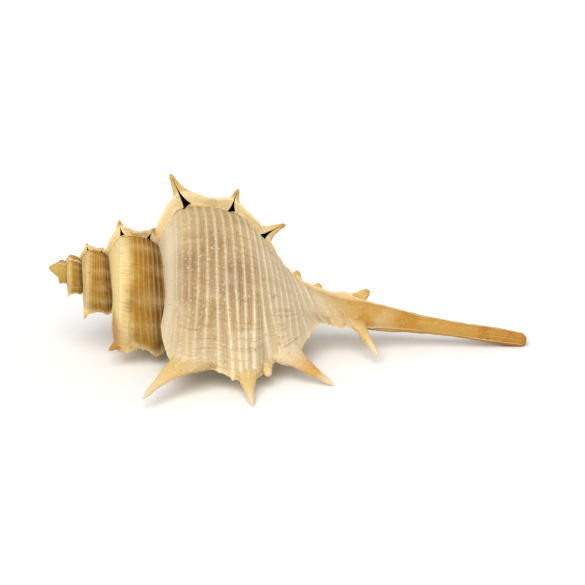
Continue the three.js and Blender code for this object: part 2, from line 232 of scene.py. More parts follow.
# point of the lip's outline at a distance along the axis, and its length from the suture to there
def outlineAt(x):
    points = [Vector(point) for point in shell["outline"]]
    travelled = 0
    last = points[0]
    for i in range(len(points) - 1):
        before = points[max(i - 1, 0)]
        after = points[min(i + 2, len(points) - 1)]
        slopeA = (points[i + 1] - before) / 2
        slopeB = (after - points[i]) / 2
        for step in range(1, 41):
            t = step / 40
            here = ((2 * t**3 - 3 * t**2 + 1) * points[i] + (t**3 - 2 * t**2 + t) * slopeA
                    + (3 * t**2 - 2 * t**3) * points[i + 1] + (t**3 - t**2) * slopeB)
            travelled += (here - last).length
            last = here
            if here.x >= x:
                return here, travelled
    return last, travelled


# the small points along the neck have no groove
def isGrooved(stage, kind, share, *others):
    return "fold" in spineKinds[kind] and share > 0.26


def easeBetween(value, low, high):
    t = min(max((value - low) / (high - low), 0), 1)
    return t * t * (3 - 2 * t)


# guide mesh: the lip's outline as an edge line, and one loose point for each spine's root, grooved ones first
def guideMesh():
    points = [(x, y, 0) for x, y in shell["outline"]]
    count = len(points)
    values = {name: [(0, 0, 0)] * count for name in ("bend", "tip", "forward", "sizes")}
    values["place"] = [(growth, 0, 0) for growth in shell["varices"]]
    values["place"] += [(0, 0, 0)] * (count - len(shell["varices"]))
    spines = [(stage, *row) for stage, rows in enumerate(varixSpines) for row in rows]
    spines.sort(key=lambda row: not isGrooved(*row))
    for stage, kind, share, x, lean, ahead in spines:
        facts = spineKinds[kind]
        root, along = outlineAt(x)
        turns = shell["varices"][stage] / 360
        shrink = 1 - easeBetween(root.x, shell["nextSutureX"], shell["canalX"])
        size = shell["whorlRatio"] ** (turns * shrink)
        angle = math.radians(shell["lipAngle"] - 360 * turns)
        reach = facts["length"] * share * size
        outward = Vector((0, math.sin(angle), math.cos(angle)))
        forward = Vector((0, -math.cos(angle), math.sin(angle)))
        axis = Vector((1, 0, 0))
        young = math.exp(-root.x * size / shell["apexReach"])
        wide = (1 + shell["apexFlare"] * young) * (1 + (min(root.x * 0.7, 20) / root.y - 1) * young * 0.85)
        base = axis * root.x * size + outward * root.y * size * wide
        base -= forward * 0.7 * facts["thickness"] * size
        tilt = math.radians(lean)
        bend = base + reach * 0.55 * (axis * math.sin(tilt - 0.12) + outward * math.cos(tilt - 0.12))
        tip = base + reach * (axis * math.sin(tilt) + outward * math.cos(tilt) + forward * ahead)
        inBody = stage < shell["bodyStages"]
        flare = facts.get("flare", spineShape["bodyFlare" if inBody else "spireFlare"])
        points.append(tuple(base))
        values["bend"].append(tuple(bend))
        values["tip"].append(tuple(tip))
        values["forward"].append(tuple(forward))
        values["sizes"].append((facts["width"] * size, facts["thickness"] * size, spineShape["tip"] * size))
        values["place"].append((turns, along, flare))
    mesh = bpy.data.meshes.new("shellGuide")
    mesh.from_pydata(points, [(i, i + 1) for i in range(count - 1)], [])
    for name, rows in values.items():
        layer = mesh.attributes.new(name, "FLOAT_VECTOR", "POINT")
        for cell, row in zip(layer.data, rows):
            cell.vector = row
    return mesh, len(spines), sum(isGrooved(*row) for row in spines)


# stores the values that the finish reads
def keep(b, geometry, **values):
    for name, value in values.items():
        geometry = b.add("GeometryNodeStoreNamedAttribute", {"data_type": "FLOAT", "domain": "POINT"},
                         Geometry=geometry, Name=name, Value=value)
    return geometry


# a grid of corners x by y, with each corner's place in it from 0 to x - 1 and 0 to y - 1
def gridOf(b, x, y):
    mesh = b.add("GeometryNodeMeshGrid", None, 1.0, 1.0, x, y)
    place = b.add("ShaderNodeSeparateXYZ", None, b.add("GeometryNodeInputPosition"))
    column = b.calc("ROUND", (place.out("X") + 0.5) * (x - 1))
    row = b.calc("ROUND", (place.out("Y") + 0.5) * (y - 1))
    return mesh, column, row


# moves a grid's corners to their places and welds its closed edges
def shaped(b, mesh, place):
    moved = b.add("GeometryNodeSetPosition", None, Geometry=mesh, Position=place)
    return b.add("GeometryNodeMergeByDistance", None, Geometry=moved, Distance=0.0005)


# a place at a distance along the axis, one from it, and an angle of growth past the lip
def roundAxis(b, x, radius, growth, lip):
    angle = (lip - growth) * math.radians(1)
    return b.combine(x, radius * b.calc("SINE", angle), radius * b.calc("COSINE", angle))


# one stage of growth, filled in to the axis
def growthStage(b, ask, guide, wall, stage):
    inBody = b.below(stage, shell["bodyStages"] - 0.5)
    oldest = inBody * b.calc("GREATER_THAN", stage, shell["bodyStages"] - 1.5)
    lap = oldest * (shell["bodyLap"] - shell["stageLap"]) + shell["stageLap"]
    varices = b.add("ShaderNodeSeparateXYZ", None, b.add("GeometryNodeInputNamedAttribute",
                                                        {"data_type": "FLOAT_VECTOR"}, "place")).out("X")
    reader = {"data_type": "FLOAT", "domain": "POINT"}
    start = b.add("GeometryNodeSampleIndex", reader, guide, varices, stage + 1) - lap
    span = b.add("GeometryNodeSampleIndex", reader, guide, varices, stage) - start
    older = b.calc("MAXIMUM", stage - shell["bodyStages"], 0)
    spireRows = b.calc("MAXIMUM", shell["spireRows"] * 0.84**older, 26)
    rows = b.calc("ROUND", b.mix(spireRows, shell["bodyRows"], inBody))
    columns = b.calc("ROUND", b.mix(b.calc("MAXIMUM", shell["spireColumns"] * 0.88**older, 24),
                                    shell["bodyColumns"], inBody))
    mesh, across, along = gridOf(b, rows + 2, columns + 2)
    row = rows + 1 - across
    atStart = b.below(row, 0.5)
    atEnd = b.calc("GREATER_THAN", row, rows + 0.5)
    atCap = b.below(along, 0.5) + b.calc("GREATER_THAN", along, columns + 0.5)
    rowShare = b.clamp((row - 1) / (rows - 1))
    columnShare = b.clamp((along - 1) / (columns - 1))

    # how far along the outline a row is: close rows on the whorl, wide ones on the canal
    sunk = 1.2
    whorl = 43.0
    wallLength = b.add("GeometryNodeCurveLength", None, wall)
    bodyLength = (b.calc("MINIMUM", rowShare / 0.8, 1) * (whorl + sunk) - sunk
                  + b.calc("MAXIMUM", rowShare * 5 - 4, 0) * (wallLength - whorl))
    length = b.mix(rowShare * (29.5 + sunk) - sunk, bodyLength, inBody)
    under = b.calc("MINIMUM", length, 0)
    onWall = b.add("GeometryNodeSampleCurve", {"mode": "LENGTH", "use_all_curves": True}, Curves=wall,
                   Length=b.calc("MAXIMUM", length, 0)).out("Position")
    point = b.add("ShaderNodeSeparateXYZ", None, onWall)
    x = point.out("X") - under * 0.2
    wallRadius = point.out("Y") + under

    # how far through the stage a column is, and down the varix's front face
    backShare = b.calc("MINIMUM", columnShare / 0.9, 1)
    front = b.calc("MAXIMUM", columnShare * 10 - 9, 0)
    late = b.calc("MAXIMUM", (backShare - 0.7) / 0.3, 0)
    share = b.calc("MINIMUM", backShare / 0.7, 1) * 0.72 + (1 - (1 - late) ** 1.5) * 0.28
    lean = b.smooth(front, 0, 0.35) * 1.1 - b.smooth(front, 0.35, 1) * 1.7
    closing = oldest * b.smooth(x, shell["neckStart"] - 1, shell["neckStart"] + 2.5)
    closing = closing * (shell["canalLap"] - shell["bodyLap"]) * (1 - share)
    growth = start + span * share + lean - closing
    turns = growth / 360
    scaled = 1 - b.smooth(x, shell["nextSutureX"], shell["canalX"])
    size = ask["Whorl ratio"] ** (turns * scaled)

    # the first whorls are wider, and so flat sided that they make a cone
    young = b.calc("EXPONENT", x * size / -shell["apexReach"])
    cone = b.calc("MINIMUM", x * 0.7, 20)
    radius = b.mix(wallRadius, cone, young * 0.85) * (young * shell["apexFlare"] + 1)

    # the varix, with the wall folded up into its spines, and dropping away in front
    rise = b.calc("MAXIMUM", share - shell["varixStart"], 0) / (1 - shell["varixStart"])
    web = b.mix(0.8, 1, b.smooth(x, shell["sutureX"], shell["shoulderX"]))
    web = web * (1 - b.smooth(x, shell["neckStart"], shell["neckEnd"]) * 0.7)
    web = web * (1 - b.smooth(x, shell["neckEnd"], shell["canalX"]))
    folding = b.smooth(share, shell["foldStart"], 1) ** 1.5
    fold = 0.0
    cordLength = length
    for facts in spineKinds.values():
        if "fold" not in facts:
            continue
        near = b.calc("EXPONENT", ((x - facts["x"]) / facts["foldWidth"]) ** 2 * -1)
        fold = near * facts["fold"] + fold
        cordLength = cordLength + (length - outlineAt(facts["x"])[1]) * near * folding * 0.7
    arcs = 0.0
    for place, depth, wide in lipArcs:
        arcs = b.calc("EXPONENT", ((x - place) / wide) ** 2 * -1) * depth + arcs
    covered = (1 - inBody) * b.smooth(x, shell["nextSutureX"] - 1, shell["nextSutureX"])
    fall = (1 - front * front) * 1.35 - 0.35
    spireFold = b.mix(1.4, 2.0, b.calc("COMPARE", stage, 3, 0.1))
    lift = ask["Varix height"] * 0.85 * web * rise**2 + fold * folding * b.mix(spireFold, 1, inBody)
    varix = lift * (1 - covered) * fall - front * 0.4 - arcs * folding * b.below(stage, 0.5)
    crevice = (1 - b.smooth(share, 0.036, 0.075)) * -0.3

    # ribs across the whorl, cords and threads along it, and uneven growth
    ribFade = b.smooth(x, shell["sutureX"], shell["shoulderX"])
    ribFade = ribFade * (1 - b.smooth(x, shell["neckStart"], shell["neckEnd"]))
    ribFade = ribFade * b.smooth(share, 0.02, 0.2) * (1 - b.smooth(share, 0.62, 0.72))
    rib = b.wave(share / 0.2) * ribFade * b.mix(shell["ribHeight"], shell["ribHeight"] * 0.35, inBody)
    phase = (cordLength - shell["rampLength"]) / ask["Cord spacing"]
    crest = b.wave(phase) ** 4
    thread = b.wave(phase * 4)
    cordFade = b.mix(0.25, 1, b.smooth(length, 4, shell["rampLength"]))
    cordFade = cordFade * (1 - b.smooth(x, shell["neckEnd"], shell["canalX"]) * 0.9) * (1 - front)
    beads = b.noise(b.combine(growth * 0.35, length * 0.4, stage), 1.0)
    cordFade = cordFade * (b.smooth(share, 0.5, 0.95) * b.below(stage, 0.5) * b.smooth(x, 33, 39) * 1.2 + 1)
    keel = b.calc("EXPONENT", ((length - 10) / 0.8) ** 2 * -1) * (1 - inBody * 0.6) * (1 - front)
    cord = ask["Cord height"] * (cordFade * (crest * (beads * 0.7 + 0.6) + thread * 0.16) + keel * 1.4)
    lines = b.noise(b.combine(growth * 0.55, length * 0.06, 3.1), 1.0, 3.0)
    uneven = (lines - 0.5) * 0.2 * (1 - front)
    onCanal = b.smooth(x, shell["nextSutureX"], shell["canalX"])
    lumpy = b.noise(b.combine(length * 0.22, growth * 0.012, 7.7), 1.0, 3.0) - 0.5
    canal = wallRadius * 0.05 * (share - 1) * onCanal + lumpy * onCanal * 0.7
    canal = canal - wallRadius * b.smooth(x, shell["length"] - 0.9, shell["length"]) ** 2 * 0.45
    outer = (radius + varix + crevice + rib + cord + uneven + canal) * size

    # both ends of the grid close on the axis
    middle = ask["Whorl ratio"] ** ((start + span / 2) / 360)
    axisStart = middle * (shell["sutureX"] + 1.5)
    axisEnd = b.mix(middle * shell["nextSutureX"], shell["length"], inBody)
    axisMiddle = b.mix(axisStart, axisEnd, 0.3)
    onSurface = (1 - atStart) * (1 - atEnd) * (1 - atCap)
    onAxis = axisMiddle * atCap + (1 - atCap) * (axisStart * atStart + axisEnd * atEnd)
    ramp = 1 - b.smooth(x, shell["sutureX"], shell["shoulderX"] + 3)
    placeX = (x - varix * ramp * shell["varixLean"]) * size
    place = roundAxis(b, placeX * onSurface + onAxis, outer * onSurface, growth, ask["Lip angle"])
    ridge = (crest * 0.8 + thread * 0.25) * cordFade
    mesh = keep(b, mesh, growth=turns, along=length, share=share + front, ridge=ridge, made=1.0)
    return shaped(b, mesh, place)


# reads one spine's values from the guide
def spineValues(b, seeds, index):
    def read(name):
        value = b.add("GeometryNodeInputNamedAttribute", {"data_type": "FLOAT_VECTOR"}, name)
        return b.add("GeometryNodeSampleIndex", {"data_type": "FLOAT_VECTOR", "domain": "POINT"},
                     seeds, value, index)

    root = b.add("GeometryNodeSampleIndex", {"data_type": "FLOAT_VECTOR", "domain": "POINT"}, seeds,
                 b.add("GeometryNodeInputPosition"), index)
    sizes = b.add("ShaderNodeSeparateXYZ", None, read("sizes"))
    place = b.add("ShaderNodeSeparateXYZ", None, read("place"))
    return {"root": root, "bend": read("bend"), "tip": read("tip"), "forward": read("forward"),
            "width": sizes.out("X"), "thickness": sizes.out("Y"), "point": sizes.out("Z"),
            "growth": place.out("X"), "along": place.out("Y"), "flare": place.out("Z")}


# a place on a spine's core with the directions across it
def onCore(b, spine, share):
    near = spine["root"] + (spine["bend"] - spine["root"]) * share
    far = spine["bend"] + (spine["tip"] - spine["bend"]) * share
    tangent = b.vector("NORMALIZE", far - near)
    side = b.vector("NORMALIZE", b.vector("CROSS_PRODUCT", tangent, spine["forward"]))
    return near + (far - near) * share, side, b.vector("CROSS_PRODUCT", side, tangent)


# a spine with a flared root, a blunt tip and a hollow down its front
def spineSolid(b, spine):
    rings = spineShape["rings"]
    around = spineShape["around"]
    mesh, column, ring = gridOf(b, around, rings)
    share = b.clamp((ring - 1) / (rings - 3))
    ends = b.below(ring, 0.5) + b.calc("GREATER_THAN", ring, rings - 1.5)
    flare = b.clamp(1 - b.mix(-spineShape["buried"], 1, share)) ** spine["flare"]
    blunt = (1 - b.smooth(share, 0.9, 1) * 0.6) * (1 - ends)
    turn = column * (-2 * math.pi / (around - 1))
    sideways = b.calc("COSINE", turn)
    forwards = b.calc("SINE", turn)
    lumps = b.noise(b.combine(share * 5, sideways * 0.5, spine["growth"] * 20), 1.0) * 0.3 + 0.85
    width = b.mix(spine["point"], spine["width"], flare) * blunt * lumps
    thickness = b.mix(spine["point"], spine["thickness"], flare) * blunt * lumps
    thickness = thickness * b.mix(0.4, 1, b.smooth(share, 0.02, 0.2))
    inFront = b.calc("GREATER_THAN", forwards, 0)
    hollow = b.calc("EXPONENT", sideways * sideways * -9) * inFront * 0.5 * (1 - b.smooth(share, 0.8, 1))
    core, side, front = onCore(b, spine, b.mix(-spineShape["buried"], 1, share))
    place = core + side * (width * sideways) + front * (thickness * (forwards - hollow))
    streaks = b.wave(sideways * 1.6) ** 3 * (1 - b.smooth(share, 0.25, 0.8)) * 0.8
    mesh = keep(b, mesh, growth=spine["growth"], along=spine["along"], share=0.93, spine=share * 0.9 + 0.1,
                ridge=streaks, made=1.0)
    return shaped(b, mesh, place)


# the slit down a spine's front, which widens to a pit at its root; the finish paints its faces near-black as
# painted shade
def spineSlit(b, spine):
    rings = 18
    mesh, column, ring = gridOf(b, 5, rings)
    share = b.clamp((ring - 1) / (rings - 3))
    ends = b.below(ring, 0.5) + b.calc("GREATER_THAN", ring, rings - 1.5)
    corner = b.calc("MODULO", column, 4)
    inner = b.calc("COMPARE", corner, 1.5, 0.6)
    across = (b.below(corner, 1.5) * 2 - 1) * (1 - inner * 0.35)
    deep = 2 - inner * 2.3
    width = (spine["point"] * 0.13 + spine["width"] * 0.3 * (1 - share) ** 3) * (1 - ends)
    depth = deep * b.mix(spine["thickness"], spine["point"], share) * (1 - ends)
    core, side, front = onCore(b, spine, share * 0.84 + 0.02)
    mesh = keep(b, mesh, growth=spine["growth"], along=spine["along"], share=1.0, groove=1.0, made=1.0)
    return shaped(b, mesh, core + side * (across * width) + front * depth)


# a place on the mouth's edge, some way round it, at an angle of growth
def mouthEdge(b, ask, turn, growth, scale, margin):
    tilt = math.radians(mouth["tilt"])
    long = b.calc("COSINE", turn) * (margin + mouth["halfLength"])
    wide = b.calc("SINE", turn) * (margin + mouth["halfWidth"])
    size = ask["Whorl ratio"] ** (growth / 360)
    x = (long * math.cos(tilt) - wide * math.sin(tilt)) * scale + size * mouth["centre"][0]
    radius = (long * math.sin(tilt) + wide * math.cos(tilt)) * scale + size * mouth["centre"][1]
    return roundAxis(b, x, radius, growth, ask["Lip angle"])


# the living chamber behind the mouth
def livingChamber(b, ask):
    rings = 44
    around = 57
    mesh, column, ring = gridOf(b, around, rings)
    share = b.clamp((ring - 1) / (rings - 3))
    ends = b.below(ring, 0.5) + b.calc("GREATER_THAN", ring, rings - 1.5)
    growth = 10 - share * (10 + mouth["depth"])
    scale = ask["Whorl ratio"] ** (growth / 360) * b.calc("SQRT", 1 - share**3 * 0.9) * (1 - ends)
    turn = column * (-2 * math.pi / (around - 1))
    mesh = keep(b, mesh, inside=1.0, made=1.0)
    return shaped(b, mesh, mouthEdge(b, ask, turn, growth, scale, 0.0))


# the raised rim round the mouth
def mouthRim(b, ask):
    rings = 97
    around = 17
    mesh, column, ring = gridOf(b, around, rings)
    section = column * (2 * math.pi / (around - 1))
    turn = ring * (2 * math.pi / (rings - 1))
    growth = b.calc("SINE", section) * (mouth["rim"] * 57.3 / mouth["centre"][1]) + mouth["rimStep"]
    margin = b.calc("COSINE", section) * mouth["rim"] + mouth["rim"]
    mesh = keep(b, mesh, share=2.0, along=20.0, rim=1.0, made=1.0)
    return shaped(b, mesh, mouthEdge(b, ask, turn, growth, 1.0, margin))


# the slit along the canal
def canalSlit(b, ask):
    rings = 60
    mesh, column, ring = gridOf(b, 5, rings)
    share = b.clamp((ring - 1) / (rings - 3))
    ends = b.below(ring, 0.5) + b.calc("GREATER_THAN", ring, rings - 1.5)
    x = share * (shell["length"] - 45) + 46
    growth = b.mix(9, 46, b.smooth(x, shell["neckEnd"], shell["canalX"]))
    top = 9 - share * 5
    corner = b.calc("MODULO", column, 4)
    high = b.calc("COMPARE", corner, 1.5, 0.6)
    radius = b.mix(b.mix(0.35, top, high), top * 0.5, ends)
    across = (b.below(corner, 1.5) * 2 - 1) * 0.4 * (1 - ends)
    angle = (ask["Lip angle"] - growth) * math.radians(1)
    sideways = b.combine(0.0, b.calc("COSINE", angle), b.calc("SINE", angle) * -1) * across
    mesh = keep(b, mesh, inside=0.5, made=1.0)
    return shaped(b, mesh, roundAxis(b, x, radius, growth, ask["Lip angle"]) + sideways)


# the first whorls, a smooth cone with a rounded tip
def apexKnob(b):
    rings = 24
    around = 33
    mesh, column, ring = gridOf(b, around, rings)
    x = b.calc("MINIMUM", ring / (rings - 2), 1) ** 1.6 * 2.6
    radius = x * 0.62 + (1 - b.calc("EXPONENT", x * -5)) * 0.28
    radius = radius * b.below(ring, rings - 1.5)
    mesh = keep(b, mesh, growth=-5.0, along=12.0, made=1.0)
    return shaped(b, mesh, roundAxis(b, x, radius, column * (-360 / (around - 1)), 0.0))


def joinSolids(b, *solids):
    return b.add("GeometryNodeMeshBoolean", {"operation": "UNION", "solver": "MANIFOLD"}, list(solids))


def cutSolids(b, solid, *hollows):
    return b.add("GeometryNodeMeshBoolean", {"operation": "DIFFERENCE", "solver": "MANIFOLD"},
                 solid, list(hollows))


# repeats a step on one or more geometries, each made from the last
def repeated(b, count, starts, step):
    first = b.tree.nodes.new("GeometryNodeRepeatInput")
    last = b.tree.nodes.new("GeometryNodeRepeatOutput")
    first.pair_with_output(last)
    for extra in range(1, len(starts)):
        last.repeat_items.new("GEOMETRY", "Geometry %d" % extra)
    first.inputs["Iterations"].default_value = count
    for place, one in enumerate(starts):
        if one:
            b.feed(first.inputs[1 + place], one)
    index = Sock(b, first.outputs["Iteration"])
    results = step(index, [Sock(b, first.outputs[1 + place]) for place in range(len(starts))])
    for place, one in enumerate(results):
        b.feed(last.inputs[place], one)
    return [Sock(b, last.outputs[place]) for place in range(len(starts))]


def named(b, name):
    return b.add("GeometryNodeInputNamedAttribute", {"data_type": "FLOAT"}, name)


# corners where two solids met have no values, so they take those of their neighbours
def mendValues(b, solid, names):
    made = named(b, "made")
    known = b.add("GeometryNodeBlurAttribute", {"data_type": "FLOAT"}, Value=made, Iterations=2)
    for name in names:
        value = named(b, name)
        near = b.add("GeometryNodeBlurAttribute", {"data_type": "FLOAT"}, Value=value * made, Iterations=2)
        mended = b.mix(near / b.calc("MAXIMUM", known, 0.001), value, made)
        solid = keep(b, solid, **{name: mended})
    return keep(b, solid, made=1.0)


valueNames = ["growth", "along", "share", "ridge", "spine", "rim"]


def shellTree(material, spineCount, groovedCount):
    b = Build(bpy.data.node_groups.new("murexShell", "GeometryNodeTree"))
    face = b.tree.interface
    face.new_socket("Guide", in_out="INPUT", socket_type="NodeSocketGeometry")
    for name in inlets:
        face.new_socket(name, in_out="INPUT", socket_type="NodeSocketFloat")
    face.new_socket("Shell", in_out="OUTPUT", socket_type="NodeSocketGeometry")
    source = b.tree.nodes.new("NodeGroupInput")
    ask = {name: Sock(b, source.outputs[name]) for name in inlets}
    guide = Sock(b, source.outputs["Guide"])

    line = b.add("GeometryNodeMeshToCurve", None, guide)
    line = b.add("GeometryNodeCurveSplineType", {"spline_type": "CATMULL_ROM"}, line)
    wall = b.add("GeometryNodeSetSplineResolution", None, Geometry=line, Resolution=40)
    marks = b.add("ShaderNodeSeparateXYZ", None, b.add("GeometryNodeInputNamedAttribute",
                                                      {"data_type": "FLOAT_VECTOR"}, "place"))
    seeds = b.add("GeometryNodeSeparateGeometry", {"domain": "POINT"}, guide, marks.out("Z"))

    knob = apexKnob(b)
    oldest = shell["stageCount"] - 1

    def addStage(index, done):
        return [joinSolids(b, done[0], growthStage(b, ask, guide, wall, oldest - index))]

    def addSpine(index, done):
        return [joinSolids(b, done[0], spineSolid(b, spineValues(b, seeds, index)))]

    def addSlit(index, done):
        slit = spineSlit(b, spineValues(b, seeds, index))
        return [b.add("GeometryNodeJoinGeometry", None, [done[0], slit])]

    whorls = repeated(b, shell["stageCount"], [knob], addStage)[0]
    spines = repeated(b, spineCount, [mouthRim(b, ask)], addSpine)[0]
    slits = repeated(b, groovedCount, [None], addSlit)[0]
    solid = mendValues(b, joinSolids(b, whorls, spines), valueNames)

    # the whorl's wall flows up into each spine
    near = b.add("GeometryNodeSampleNearest", {"domain": "POINT"}, seeds)
    sizes = b.add("GeometryNodeInputNamedAttribute", {"data_type": "FLOAT_VECTOR"}, "sizes")
    rootSize = b.add("GeometryNodeSampleIndex", {"data_type": "FLOAT_VECTOR", "domain": "POINT"},
                     seeds, sizes, near)
    root = b.add("GeometryNodeSampleIndex", {"data_type": "FLOAT_VECTOR", "domain": "POINT"}, seeds,
                 b.add("GeometryNodeInputPosition"), near)
    here = b.add("GeometryNodeInputPosition")
    apart = b.vector("DISTANCE", here, root).out("Value")
    reach = b.add("ShaderNodeSeparateXYZ", None, rootSize).out("X")
    weight = 1 - b.smooth(apart / reach, 0.5, 1.2)
    soft = b.add("GeometryNodeBlurAttribute", {"data_type": "FLOAT_VECTOR"},
                 Value=here, Iterations=10, Weight=weight)
    solid = b.add("GeometryNodeSetPosition", None, Geometry=solid, Position=soft)

    solid = cutSolids(b, solid, slits, livingChamber(b, ask), canalSlit(b, ask))
    solid = mendValues(b, solid, valueNames)

    rest = shell["rest"]
    turned = b.add("GeometryNodeTransform", None, Geometry=solid,
                   Translation=tuple(value / 1000 for value in rest["apex"]),
                   Rotation=(math.radians(rest["roll"]), math.radians(rest["pitch"]), 0),
                   Scale=(0.001, 0.001, 0.001))
    place = b.add("ShaderNodeSeparateXYZ", None, b.add("GeometryNodeInputPosition"))
    worn = b.combine(place.out("X"), place.out("Y"), b.calc("MAXIMUM", place.out("Z"), 0))
    worn = b.add("GeometryNodeSetPosition", None, Geometry=turned, Position=worn)
    angle = b.add("GeometryNodeInputMeshEdgeAngle")
    flat = b.add("GeometryNodeSetShadeSmooth", {"domain": "FACE"}, worn, True, True)
    sharp = b.calc("GREATER_THAN", angle, 0.9)
    flat = b.add("GeometryNodeSetShadeSmooth", {"domain": "EDGE"}, flat, sharp, False)
    final = b.add("GeometryNodeRealizeInstances", None, flat)
    final = b.add("GeometryNodeSetMaterial", None, Geometry=final, Material=material)
    outlet = b.tree.nodes.new("NodeGroupOutput")
    b.feed(outlet.inputs["Shell"], final)
    return b.tree


inlets = {
    "Whorl ratio": shell["whorlRatio"],
    "Lip angle": shell["lipAngle"],
    "Varix height": shell["varixHeight"],
    "Cord spacing": shell["cordSpacing"],
    "Cord height": shell["cordHeight"],
}


# sRGB 0 to 255 as the linear colour a shader takes
def tint(red, green, blue):
    def linear(value):
        value /= 255
        return value / 12.92 if value <= 0.04045 else ((value + 0.055) / 1.055) ** 2.4

    return (linear(red), linear(green), linear(blue), 1.0)


finish = {
    "cream": tint(244, 228, 194),
    "pale": tint(236, 220, 188),
    "beige": tint(200, 172, 122),
    "tan": tint(164, 128, 72),
    "mauve": tint(132, 90, 54),
    "olive": tint(170, 120, 0),
    "brown": tint(126, 78, 0),
    "ramp": tint(240, 216, 152),
    "apex": tint(198, 166, 84),
    "canal": tint(200, 156, 78),
    "canalTip": tint(184, 120, 30),
    "flange": tint(246, 222, 168),
    "spine": tint(228, 194, 116),
    "spineTip": tint(210, 164, 84),
    "honey": tint(206, 142, 32),
    "rust": tint(168, 102, 24),
    "umber": tint(92, 50, 2),
    # near-black painted shade for the spine slits and the pits at their roots
    "grooveShade": tint(22, 9, 4),
    "inside": tint(244, 232, 216),
}


def shellFinish():
    material = bpy.data.materials.new("shellLime")
    material.use_nodes = True
    b = Build(material.node_tree)
    b.tree.nodes.clear()

    def value(name):
        return b.add("ShaderNodeAttribute", {"attribute_name": name}).out("Fac")

    def blend(low, high, share):
        return b.add("ShaderNodeMix", {"data_type": "RGBA", "blend_type": "MIX"}, share, low, high)

    def between(value, low, high, soft):
        return b.smooth(value, low - soft, low + soft) * (1 - b.smooth(value, high - soft, high + soft))

    place = b.add("ShaderNodeTexCoord").out("Object")
    growth = value("growth")
    along = value("along")
    share = value("share")
    ridge = value("ridge")
    spine = value("spine")
    cloud = b.noise(place, 90.0, 4.0, 0.6)
    blotch = b.noise(place, 150.0, 3.0, 0.6)
    grain = b.noise(place, 1900.0, 3.0, 0.65)
    speck = b.noise(place, 4200.0, 2.0, 0.5)
    dots = b.noise(place, 800.0, 1.0, 0.5)
    lines = b.noise(b.combine(growth * 360, along * 0.12, 0.0), 0.9, 4.0, 0.6)
    bands = b.noise(b.combine(growth * 26, along * 0.08, 2.0), 1.0, 2.0)

    # the last whorl: tan, clouded with mauve, and paler on its ramp and towards the canal
    body = blend(finish["tan"], finish["beige"], b.smooth(cloud, 0.3, 0.7))
    mauve = b.smooth(b.noise(place, 60.0, 3.0), 0.5, 0.72) * between(along, 13, 25, 3)
    body = blend(body, finish["mauve"], mauve * 0.7)
    body = blend(body, finish["beige"], (1 - b.smooth(growth, -0.27, -0.18)) * 0.5)
    dusk = between(growth, -0.19, -0.08, 0.03) * b.smooth(cloud, 0.35, 0.65)
    body = blend(body, finish["mauve"], dusk * 0.8)
    body = blend(body, finish["pale"], b.smooth(bands, 0.5, 0.75) * 0.35)
    body = blend(body, finish["cream"], (1 - b.smooth(along, 4, 12)) * 0.8)
    body = blend(body, finish["pale"], b.smooth(along, 22, 33) * 0.6)
    body = blend(body, finish["cream"], b.smooth(growth, -0.09, -0.02) * 0.2)
    body = blend(body, finish["cream"], ridge * b.mix(0.35, 0.7, between(along, 12, 30, 2)))

    # the spire: olive to brown below a pale ramp, with pale ribs
    spire = blend(finish["olive"], finish["brown"], b.smooth(along, 15, 22) * 0.65)
    spire = blend(spire, finish["brown"], b.smooth(blotch, 0.5, 0.75) * 0.6)
    spire = blend(spire, finish["umber"], b.smooth(along, 20.5, 24) * 0.85)
    spire = blend(spire, finish["ramp"], b.wave(share / 0.2) * b.smooth(bands, 0.3, 0.65) * 0.22)
    upper = 1 - b.smooth(along + (blotch - 0.5) * 5, 10.5, 16)
    spire = blend(spire, finish["ramp"], upper * b.mix(0.5, 0.95, b.smooth(growth, -2.0, -1.8)))
    spire = blend(spire, finish["ramp"], ridge * 0.28)
    spire = blend(spire, finish["cream"], between(along, 9.6, 10.4, 0.6) * 0.25)
    young = blend(finish["apex"], spire, b.smooth(growth, -3.6, -3.1))
    coat = blend(young, body, b.smooth(growth, -0.87, -0.84))

    amber = b.smooth(along, 55, 84) * 0.5 + b.smooth(blotch, 0.48, 0.7) * 0.5
    canal = blend(finish["canal"], finish["canalTip"], amber)
    faded = b.smooth(cloud, 0.45, 0.65) * between(along, 40, 52, 5)
    canal = blend(canal, finish["pale"], faded * 0.7)
    stained = b.smooth(b.noise(place, 320.0, 3.0), 0.48, 0.66) * b.smooth(along, 58, 80)
    canal = blend(canal, finish["rust"], stained * 0.6)
    coat = blend(coat, canal, b.smooth(along, 39, 51))

    # varices are pale, with a brown line of painted shade in the crevice where the next stage starts from
    # their front
    coat = blend(coat, finish["flange"], b.smooth(share, 0.92, 1.02) * 0.8)
    # painted shade: a brown line along the crevice at the foot of each varix's front
    creviceShade = (1 - b.smooth(share, 0.035, 0.075)) * b.smooth(growth, -3, -2.5)
    coat = blend(coat, finish["brown"], creviceShade * (1 - b.smooth(along, 34, 40)) * 0.75)
    lined = b.smooth(lines, 0.48, 0.7) * between(along, 8, 38, 2)
    coat = blend(coat, finish["tan"], lined * b.smooth(growth, -0.9, -0.8) * 0.5)
    coat = blend(coat, finish["brown"], lined * (1 - b.smooth(growth, -0.9, -0.8)) * 0.4)

    rusty = between(growth, -1.05, -0.8, 0.04)
    atLip = b.smooth(growth, -0.12, -0.04)
    tip = blend(finish["spineTip"], finish["cream"], atLip * 0.75)
    shaft = blend(finish["spine"], tip, b.smooth(spine, 0.55, 1))
    core = between(along, 28.5, 33, 1.5) * between(spine, 0.3, 0.8, 0.15)
    shaft = blend(shaft, finish["honey"], core * atLip)
    shaft = blend(shaft, finish["rust"], rusty * 0.85)
    coat = blend(coat, shaft, b.smooth(spine, 0.15, 0.75) * 0.85)
    knee = between(growth, -0.99, -0.88, 0.03) * between(along, 4, 11, 2) * b.smooth(share, 0.6, 0.92)
    coat = blend(coat, finish["rust"], knee * 0.75)
